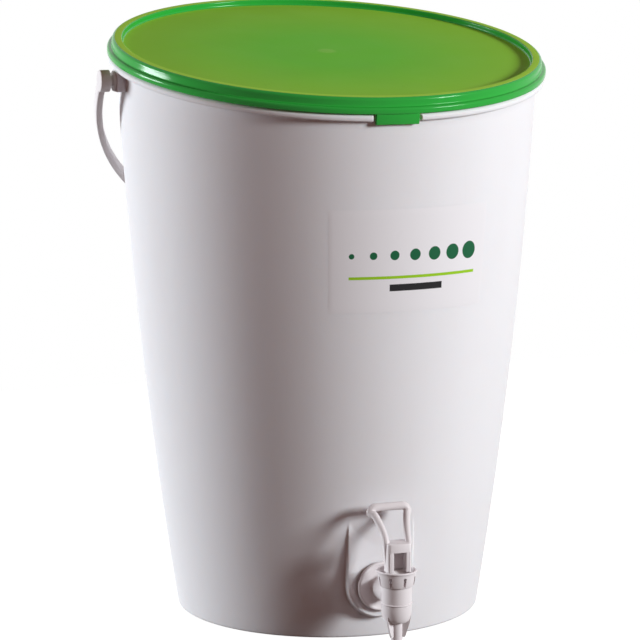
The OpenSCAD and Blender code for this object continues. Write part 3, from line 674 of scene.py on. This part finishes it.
# The tap's body: satin off-white polypropylene like the bucket, a little pinker. A dished flange and
# a neck hold an upright body with a bead round it, which rounds in to a spout between three fins.
TAP_Y, INLET, FLANGE_BACK = -135.89, 34.7, 28.1
BODY_R, BODY_TOP, CHAMBER_R, SEAT_Z, BEAD = 9.3, 41.8, 7.1, 26.0, 30.9
BOWL_LOW, BOWL_HIGH, BOWL_R, SPOUT_R, OUTLET_R, TIP_Z = 19.4, 28.2, 6.3, 3.7, 3.0, 6.5
NECK_R, INLET_R, SHANK_R, SHANK_END = 7.5, 4.4, 9.4, 42.39
FIN_T, FIN_END = 1.4, 9.8
tap_plastic = plastic("satin tap polypropylene", (0.755, 0.705, 0.72), (0.56, 0.48, 0.45), 0.36,
                      streaks=0.2, scuffs=0.25, bump=0.08, shine=0.15)


def at_tap(made):
    """Move a piece that was made round the tap's upright axis to its place."""
    made.data.transform(Matrix.Translation((0, TAP_Y * MM, 0)))
    return made


def upright():
    """The upright body, bored from the chamber to the spout's tip."""
    profile = [(OUTLET_R, TIP_Z + 0.4), (OUTLET_R + 0.25, TIP_Z), (SPOUT_R - 0.35, TIP_Z),
               (SPOUT_R - 0.1, TIP_Z + 0.3), (SPOUT_R, 14), (SPOUT_R + 0.1, BOWL_LOW - 0.3),
               (SPOUT_R + 0.4, BOWL_LOW), (BOWL_R - 0.4, BOWL_LOW)]
    for turn in (math.radians(a) for a in range(0, 91, 6)):
        profile.append((BOWL_R + (BODY_R - BOWL_R) * math.sin(turn),
                        BOWL_HIGH - (BOWL_HIGH - BOWL_LOW) * math.cos(turn)))
    profile += [(BODY_R, BEAD - 1.0), (BODY_R - 0.2, BEAD - 0.85), (BODY_R - 0.2, BEAD - 0.65)]
    profile += arc((BODY_R - 0.12, BEAD), 0.6, -80, 80, 6)
    profile += [(BODY_R - 0.2, BEAD + 0.65), (BODY_R - 0.2, BEAD + 0.85), (BODY_R, BEAD + 1.0),
                (BODY_R, BODY_TOP), (CHAMBER_R, BODY_TOP), (CHAMBER_R, SEAT_Z), (OUTLET_R, SEAT_Z)]
    return turned("upright", profile + profile[:1], count=96, sharp=32)


def neck():
    """The neck, the dished flange and the shank, turned about the inlet."""
    profile = [(INLET_R, 8), (NECK_R, 8), (NECK_R, 25.4)] + arc((NECK_R + 1.2, 25.5), 1.2, 180, 90, 4)
    profile += [(NECK_R + 3, 26.75), (12.2, 26.5), (12.9, 26.3)]
    profile += arc((14.4, 27.05), 1.2, 235, 360, 8)
    profile += [(15.6, FLANGE_BACK - 0.1), (15.5, FLANGE_BACK), (SHANK_R, FLANGE_BACK),
                (SHANK_R, SHANK_END - 0.6), (SHANK_R - 0.6, SHANK_END), (INLET_R + 0.4, SHANK_END),
                (INLET_R, SHANK_END - 0.4)]
    made = turned("neck", profile + profile[:1], "Y", 96, 32)
    made.data.transform(Matrix.Translation((0, 0, INLET * MM)))
    return made


def fin():
    """One fin of the spout, along +X, narrower towards its end."""
    side = [(2.2, FIN_END + 0.3), (5.0, FIN_END), (5.5, FIN_END + 0.5), (6.4, 13), (7.5, 16.4),
            (8.4, 19.4), (8.8, 21.4), (9.0, 23.6), (2.2, 24)]
    points = [(x, y * FIN_T / 2, z) for y in (-1, 1) for x, z in side]
    count = len(side)
    faces = [tuple(range(count))[::-1], tuple(range(count, 2 * count))]
    faces += [(i, (i + 1) % count, (i + 1) % count + count, i + count) for i in range(count)]
    return mesh_object("fin", points, faces, 30)


fins = grown(fin(), ring_of_copies, "fins", count=3, first_turn=math.pi / 2, material=tap_plastic)
body = joined("tap_upright_body", [upright(), neck(), fins])
dressed(body, tap_plastic)
at_tap(body)
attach(body, "bin")
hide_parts("tap_body")


# The tap's bonnet: the cup that screws on to the body, with slits round its side for the drips. Its
# deck carries the lever's feet, and its spigot goes down into the body.
DECK, CUP_R, CUP_TOP, CUP_T = 45.2, 12.1, 51.9, 1.3
SLITS, SLIT_W, FIRST_SLIT = 8, 1.7, math.radians(7)
profile = [(2.26, DECK - 2.4), (5.2, DECK - 2.4), (5.2, 35.8), (7.05, 35.8), (7.05, BODY_TOP),
           (9.7, BODY_TOP)] + arc((9.7, BODY_TOP + 1.0), 1.0, -90, -15, 5)
profile += [(11.0, BODY_TOP + 2), (11.3, BODY_TOP + 3.5), (11.55, BODY_TOP + 5),
            (11.75, BODY_TOP + 6.8)]
profile += [(CUP_R - 0.2, CUP_TOP - 1.6)] + arc((CUP_R - 0.25, CUP_TOP - 0.65), 0.65, -70, 90, 7)
profile += [(CUP_R - CUP_T + 0.5, CUP_TOP), (CUP_R - CUP_T + 0.2, CUP_TOP - 0.3),
            (CUP_R - CUP_T + 0.2, DECK + 0.6), (CUP_R - CUP_T - 0.4, DECK), (2.26, DECK)]
cup = turned("bonnet_cup", profile + profile[:1], count=128, sharp=32)
slit = rounded_block("slit", (-SLIT_W / 2, -14, DECK - 2.3), (SLIT_W / 2, -9.4, DECK + 3.5), 0.35, 2)
cutters = grown(slit, ring_of_copies, "slits", count=SLITS, first_turn=FIRST_SLIT,
                material=tap_plastic)
cut = cup.modifiers.new("slits", "BOOLEAN")
cut.operation, cut.solver, cut.object = "DIFFERENCE", "EXACT", cutters
mesh = baked(cup)
cup.modifiers.remove(cut)
bpy.data.objects.remove(cutters)
cup.data = mesh
mesh.set_sharp_from_angle(angle=math.radians(32))
dressed(cup, tap_plastic)
at_tap(cup)
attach(cup, "bin")
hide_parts("tap_bonnet")


# The tap's lever: two bevelled cheeks stand on round feet in the cup, with a block across their top
# and a web behind them, and a finger loop of round rod that leans back from the block.
PIN_Z, BOX_TOP, WINDOW_TOP, BOX_HALF, CHEEK_T = 48.8, 69.2, 63.4, 7.6, 2.7
FOOT_R, BOX_FRONT, FRONT_BEVEL, INNER_BEVEL = 3.4, -6.4, 1.5, 1.2
WEB_HALF, WEB_T, JAMB_X = 5.4, 1.2, 5.05
BAR_Z, BAR_BACK, LOOP_HALF, CORNER = 87.9, 15.0, 12.3, 4.0


def edges_at(z):
    """Front and rear of the lever's box at a height."""
    if z < PIN_Z:
        half = math.sqrt(max(FOOT_R ** 2 - (z - PIN_Z) ** 2, 0.02))
        front = -FOOT_R - half
        rear = -FOOT_R + half if z < 45.8 else 3.4 - 0.8 * max(0, 46.4 - z)
    else:
        front = BOX_FRONT - 0.4 * max(0, 1 - (z - PIN_Z) / 1.5)
        rear = float(np.interp(z, (48.8, 50, 52, 54, 57, 61, 65.5, 69.2),
                               (3.4, 3.3, 2.5, 1.9, 2.3, 3.5, 4.8, 6.0)))
    return front, rear


def section(z, left, right, corners, inset=0):
    """A level ring of the lever with bevelled corners, from the front left one round to the rear
    left one. Each bevel is eased at its two ends."""
    front, rear = edges_at(z)
    front, rear, left, right = front + inset, rear - inset, left + inset, right - inset
    most, soft = 0.45 * min(rear - front, right - left), 0.3
    ring = []
    for x, y, dx, dy, cut in zip((left, right, right, left), (front, front, rear, rear),
                                 (1, -1, -1, 1), (1, 1, -1, -1), corners):
        cut = min(cut, most)
        eased = [(x, y + dy * cut * (1 + soft)),
                 (x + dx * cut * soft / 2, y + dy * cut * (1 - soft / 2)),
                 (x + dx * cut * (1 - soft / 2), y + dy * cut * soft / 2),
                 (x + dx * cut * (1 + soft), y)]
        ring += eased if dx * dy > 0 else eased[::-1]
    return [(px, py, z) for px, py in ring]


def cheek(side):
    """One cheek with its round foot."""
    heights = [45.42, 45.5, 45.62, 45.79, 45.82, 46.1, 46.5, 47.2, 48, 48.8, 49.5, 50.3, 51, 52, 53,
               54, 55.5, 57, 59, 61, 63, WINDOW_TOP + 0.4]
    inner, outer = BOX_HALF - CHEEK_T, BOX_HALF - 0.02
    rings = [section(z, inner, outer, (INNER_BEVEL, FRONT_BEVEL, 0.7, 0.5)) for z in heights]
    made = mesh_object("cheek", *skin(rings), sharp=28)
    if side < 0:
        made.data.transform(Matrix.Diagonal((-1, 1, 1, 1)))
        made.data.flip_normals()
    return made


def rod_path(name, path):
    """Edges through points in mm, each given as x, y, z and its rod's radius."""
    mesh = bpy.data.meshes.new(name)
    mesh.from_pydata([(x * MM, y * MM, z * MM) for x, y, z, _ in path],
                     [(i, i + 1) for i in range(len(path) - 1)], [])
    radii = mesh.attributes.new("rod", "FLOAT", "POINT")
    radii.data.foreach_set("value", [radius * MM for *_, radius in path])
    return placed(name, mesh)


def loop():
    """The finger loop's path, with each arm running down the cheek's side as a rib."""
    side = [(7.0, -0.6, 54.5, 0.5), (7.05, -0.8, 60, 1.2), (7.1, -1.0, 65, 1.7)]
    for t in np.linspace(0, 0.8, 13):
        side.append((7.2 + (LOOP_HALF - 7.2) * t ** 1.9, -1.0 + (BAR_BACK + 1) * t ** 1.2,
                     BOX_TOP + (BAR_Z - BOX_TOP) * t, 2.0 + 0.35 * t))
    for a in np.linspace(0.12, math.pi / 2, 7):
        side.append((LOOP_HALF - CORNER * (1 - math.cos(a)), BAR_BACK - 0.9 * (1 - math.sin(a)),
                     BAR_Z - CORNER * (1 - math.sin(a)), 2.35 + 0.2 * math.sin(a)))
    return rod_path("loop_path", side + [(-x, y, z, r) for x, y, z, r in side[::-1]])


def rod_tree():
    """Geometry Nodes: a round rod along the edges, as thick as the rod attribute says."""
    tree, given = geometry_tree("Round rod", "Sides", 24)
    new, link, *_ = node_kit(tree)
    curve, fine = new("GeometryNodeMeshToCurve"), new("GeometryNodeSubdivideCurve")
    outline, thick = new("GeometryNodeCurvePrimitiveCircle"), new("GeometryNodeInputNamedAttribute")
    made = new("GeometryNodeCurveToMesh")
    thick.inputs["Name"].default_value = "rod"
    outline.inputs["Radius"].default_value = 1
    made.inputs["Fill Caps"].default_value = True
    link(given.outputs["Geometry"], curve.inputs["Mesh"])
    link(given.outputs["Sides"], outline.inputs["Resolution"])
    link(curve.outputs[0], fine.inputs["Curve"])
    link(fine.outputs[0], made.inputs["Curve"])
    link(outline.outputs[0], made.inputs["Profile Curve"])
    link(thick.outputs["Attribute"], made.inputs["Scale"])
    put_out(tree, given, made.outputs[0])
    return tree


crown = [(WINDOW_TOP, 0.25), (WINDOW_TOP + 0.25, 0), (BOX_TOP - 0.9, 0), (BOX_TOP - 0.4, 0.2),
         (BOX_TOP - 0.1, 0.6), (BOX_TOP, 1.0)]
corners = (FRONT_BEVEL, FRONT_BEVEL, 0.8, 0.8)
block = mesh_object("block", *skin([section(z, -BOX_HALF, BOX_HALF, corners, inset)
                                    for z, inset in crown]), sharp=28)
web_rings = []
for z in (46.6, 48, 50, 52, 54, 57, 61, WINDOW_TOP + 0.3):
    back = max(edges_at(z)[1] - 0.25, 4.4 if z < 52 else 3.2)
    web_rings.append([(-WEB_HALF, back - WEB_T, z), (WEB_HALF, back - WEB_T, z),
                      (WEB_HALF, back, z), (-WEB_HALF, back, z)])
web = mesh_object("web", *skin(web_rings), sharp=28)
jambs = [rounded_block("jamb", (side * JAMB_X - 1.15, BOX_FRONT + 0.05, 51.4),
                       (side * JAMB_X + 1.15, -3.6, WINDOW_TOP + 0.6), 0.3) for side in (-1, 1)]
round_rod = rod_tree()
rod = grown(loop(), round_rod, "finger_loop", sides=24, material=tap_plastic)
shaded(rod.data, 50)
lever = joined("tap_finger_lever", [block, web, cheek(-1), cheek(1), *jambs, rod])
dressed(lever, tap_plastic)
at_tap(lever)
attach(lever, "lever")
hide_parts("tap_lever")


# The return spring: a coil of drawn wire between the bonnet's deck and the stem's collar. The deck
# holds its top. In the tap the rising collar shortens it; here the coil is drawn at one length,
# between the ends of the spring in model.glb.
WIRE_R, COIL_R, COIL_TURNS, COIL_FIXED_Z, STEM_RISE = 0.39, 3.7, 5, 42.8, 2.52


def coil(low, high):
    """The wire's path between two heights in mm."""
    turns = np.linspace(0, COIL_TURNS, COIL_TURNS * 24 + 1)
    return [(COIL_R * math.cos(math.tau * t), COIL_R * math.sin(math.tau * t),
             low + (high - low) * t / COIL_TURNS, WIRE_R) for t in turns]


ends = [corner.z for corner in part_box("return_spring")]
wire = rod_path("coil_path", coil(ends[0] / MM + WIRE_R, ends[1] / MM - WIRE_R))
spring = grown(wire, round_rod, "coil_spring", sides=12, material=steel)
shaded(spring.data, 50)
at_tap(spring)
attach(spring, "bin")
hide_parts("return_spring")
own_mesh(spring)


# The lock nut: it holds the tap from inside the bucket, on the shank's end, and is moulded in the
# tap's plastic.
dressed(nodes["lock_nut"], tap_plastic)


# The label: a clear film on the front of the wall, with a plain printed motif of its own: a row of
# growing green dots over a lime bar and a short charcoal one.
LABEL_W, LABEL_H, LABEL_Z, LABEL_TURN, LABEL_T = 108.6, 63.2, 240.2, math.radians(6.8), 0.12
DOTS, DOT_X, DOT_STEP, DOT_Y, DOT_R, DOT_GROWTH = 7, 14.0, 13.4, 35.0, 1.7, 0.62


def film_sheet():
    """The film as a thin sheet round the wall, with its own flat UV layout."""
    across, up, sunk = 73, 25, 0.02
    half = LABEL_W / 2 / float(wall_at(LABEL_Z))
    turns = LABEL_TURN + np.linspace(-half, half, across)
    heights = LABEL_Z + np.linspace(-LABEL_H / 2, LABEL_H / 2, up)
    edge = np.ones((up, across))
    edge[[0, -1]] = edge[:, [0, -1]] = 0.2
    points = []
    for thick in (0, LABEL_T):
        for j, z in enumerate(heights):
            for i, turn in enumerate(turns):
                radius = wall_at(z) - sunk + thick * edge[j, i]
                points.append((radius * math.sin(turn), -radius * math.cos(turn), z))
    size = across * up

    def at(base, i, j):
        """A point's number, in the back layer from 0 or the front layer from size."""
        return base + j * across + i

    faces = []
    for base, way in ((0, -1), (size, 1)):
        for j in range(up - 1):
            for i in range(across - 1):
                faces.append([at(base, i, j), at(base, i + 1, j), at(base, i + 1, j + 1),
                              at(base, i, j + 1)][::way])
    rim = ([(i, 0) for i in range(across)] + [(across - 1, j) for j in range(1, up)]
           + [(i, up - 1) for i in range(across - 2, -1, -1)]
           + [(0, j) for j in range(up - 2, 0, -1)])
    for here, there in zip(rim, rim[1:] + rim[:1]):
        faces.append([at(0, *here), at(0, *there), at(size, *there), at(size, *here)])
    mesh = bpy.data.meshes.new("clear_label")
    mesh.from_pydata((np.array(points) * MM).tolist(), [], faces)
    layout = mesh.uv_layers.new(name="film")
    for corner in mesh.loops:
        k = corner.vertex_index % size
        layout.data[corner.index].uv = (k % across / (across - 1), k // across / (up - 1))
    bm = bmesh.new()
    bm.from_mesh(mesh)
    bmesh.ops.recalc_face_normals(bm, faces=bm.faces)
    bm.to_mesh(mesh)
    bm.free()
    shaded(mesh)
    return placed("clear_label", mesh)


def printed_film():
    """Clear film over the wall's colour, with the printed dots and bars."""
    made = plastic("printed label film", (0.785, 0.76, 0.78), (0.72, 0.69, 0.7), 0.3, streaks=0.1,
                   scuffs=0.05, bump=0.03, shine=0.1)
    tree = made.node_tree
    new, link, math_of, ranged, mixed, _ = node_kit(tree)
    where, part = new("ShaderNodeUVMap"), new("ShaderNodeSeparateXYZ")
    where.uv_map = "film"
    link(where.outputs[0], part.inputs[0])
    x = math_of("MULTIPLY", part.outputs["X"], LABEL_W)
    y = math_of("MULTIPLY", part.outputs["Y"], LABEL_H)

    def inside(distance):
        """1 where a distance in mm is below zero, with a soft printed edge."""
        return ranged(distance, 0.12, -0.12)

    def off(place, middle, half):
        """How far a place lies outside a stretch round its middle."""
        return math_of("SUBTRACT", math_of("ABSOLUTE", math_of("SUBTRACT", place, middle)), half)

    def bar(left, right, low, high):
        """A printed bar between two corners in mm."""
        return inside(math_of("MAXIMUM", off(x, (left + right) / 2, (right - left) / 2),
                              off(y, (low + high) / 2, (high - low) / 2)))

    number = math_of("ROUND", math_of("DIVIDE", math_of("SUBTRACT", x, DOT_X), DOT_STEP))
    number = math_of("MINIMUM", math_of("MAXIMUM", number, 0), DOTS - 1)
    off_x = math_of("SUBTRACT", x, math_of("MULTIPLY_ADD", number, DOT_STEP, DOT_X))
    off_y = math_of("SUBTRACT", y, DOT_Y)
    reach = math_of("SQRT", math_of("ADD", math_of("MULTIPLY", off_x, off_x),
                                    math_of("MULTIPLY", off_y, off_y)))
    dots = inside(math_of("SUBTRACT", reach, math_of("MULTIPLY_ADD", number, DOT_GROWTH, DOT_R)))
    colour = tree.nodes["Group"].outputs["Colour"]
    for mask, ink in ((dots, (0.012, 0.11, 0.045, 1)),
                      (bar(12.3, 99.8, 20.6, 22.4), (0.3, 0.55, 0.02, 1)),
                      (bar(38, 74, 13.0, 17.2), (0.02, 0.019, 0.02, 1))):
        colour = mixed(mask, colour, ink)
    link(colour, tree.nodes["Principled BSDF"].inputs["Base Color"])
    return made


sheet = film_sheet()
dressed(sheet, printed_film())
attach(sheet, "bin")
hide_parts("label_film")


# The stage: a pale floor that keeps the object's shadow, and a white surround for the camera and
# for reflections. A dim warm fill lights what the lamps don't reach.
STAGE_HALF, STAGE_Z = 0.8, -0.0002


def background_share(tree):
    """1 where the camera, a reflection or glass looks, and 0 for light itself."""
    new, _, math_of, *_ = node_kit(tree)
    rays = new("ShaderNodeLightPath")
    seen = math_of("MAXIMUM", rays.outputs["Is Camera Ray"], rays.outputs["Is Glossy Ray"])
    return math_of("MAXIMUM", seen, rays.outputs["Is Transmission Ray"])


def by_ray(tree, lit, seen, surface):
    """Put out one shader for light, and another where the camera or a reflection looks."""
    pick = tree.nodes.new("ShaderNodeMixShader")
    tree.links.new(background_share(tree), pick.inputs[0])
    tree.links.new(lit.outputs[0], pick.inputs[1])
    tree.links.new(seen.outputs[0], pick.inputs[2])
    tree.links.new(pick.outputs[0], surface)


square = [(x * STAGE_HALF, y * STAGE_HALF, STAGE_Z) for x, y in ((-1, -1), (1, -1), (1, 1), (-1, 1))]
floor_mesh = bpy.data.meshes.new("floor")
floor_mesh.from_pydata(square, [], [(0, 1, 2, 3)])
floor = placed("floor", floor_mesh)
paper = bpy.data.materials.new("white paper")
paper.use_nodes = True
tree = paper.node_tree
shader = tree.nodes["Principled BSDF"]
shader.inputs["Base Color"].default_value = (0.16, 0.12, 0.11, 1)
shader.inputs["Roughness"].default_value = 0.9
shader.inputs["Specular IOR Level"].default_value = 0.0
glow, shown = tree.nodes.new("ShaderNodeEmission"), tree.nodes.new("ShaderNodeBsdfDiffuse")
glow.inputs["Color"].default_value = (0.92, 0.92, 0.92, 1)
shown.inputs["Color"].default_value = (0.3, 0.3, 0.3, 1)
add = tree.nodes.new("ShaderNodeAddShader")
tree.links.new(shown.outputs[0], add.inputs[0])
tree.links.new(glow.outputs[0], add.inputs[1])
by_ray(tree, shader, add, tree.nodes["Material Output"].inputs["Surface"])
dressed(floor, paper)

world = bpy.data.worlds.new("studio")
bpy.context.scene.world = world
world.use_nodes = True
tree = world.node_tree
fill, white = tree.nodes["Background"], tree.nodes.new("ShaderNodeBackground")
fill.inputs["Color"].default_value = (1, 0.46, 0.37, 1)
fill.inputs["Strength"].default_value = 0.13
white.inputs["Color"].default_value = (1, 1, 1, 1)
by_ray(tree, fill, white, tree.nodes["World Output"].inputs["Surface"])


# The light: two softboxes, one behind on the left and one in front on the right, that leave a
# darker strip down the front.
LAMP_AWAY = 2.6


def softbox(name, azimuth, elevation, size, power, tint):
    """An area light that faces the object's middle, from degrees round from the tap and up."""
    lamp = bpy.data.lights.new(name, "AREA")
    lamp.shape, lamp.size, lamp.size_y = "RECTANGLE", *size
    lamp.energy, lamp.color = power, tint
    turn, rise = math.radians(azimuth), math.radians(elevation)
    back = Vector((math.sin(turn) * math.cos(rise), -math.cos(turn) * math.cos(rise), math.sin(rise)))
    made = placed(name, lamp)
    made.location = Vector((0, 0, 0.2)) + LAMP_AWAY * back
    made.rotation_euler = back.to_track_quat("Z", "Y").to_euler()


softbox("left_softbox", -117, 8, (0.9, 0.8), 80, (0.885, 0.96, 1))
softbox("right_softbox", 46, 16, (0.6, 0.55), 73.5, (0.925, 0.98, 1))


# The camera: where it stood for the photograph, 1.7 m away, to the left of the tap and a little
# above the lid.
CAMERA_AT = (-0.52826, -1.61146, 0.454165)
CAMERA_AZIMUTH, CAMERA_DOWN, CAMERA_ROLL = -18.0, 9.009, -0.107
lens = bpy.data.cameras.new("camera")
lens.lens, lens.sensor_width = 148.68, 36
camera = placed("camera", lens)
camera.matrix_world = (Matrix.Translation(CAMERA_AT)
                       @ Matrix.Rotation(math.radians(CAMERA_AZIMUTH), 4, "Z")
                       @ Matrix.Rotation(math.radians(90 - CAMERA_DOWN), 4, "X")
                       @ Matrix.Rotation(math.radians(CAMERA_ROLL), 4, "Z"))
bpy.context.scene.camera = camera
bpy.context.scene.view_settings.view_transform = "Standard"

bpy.context.view_layer.update()
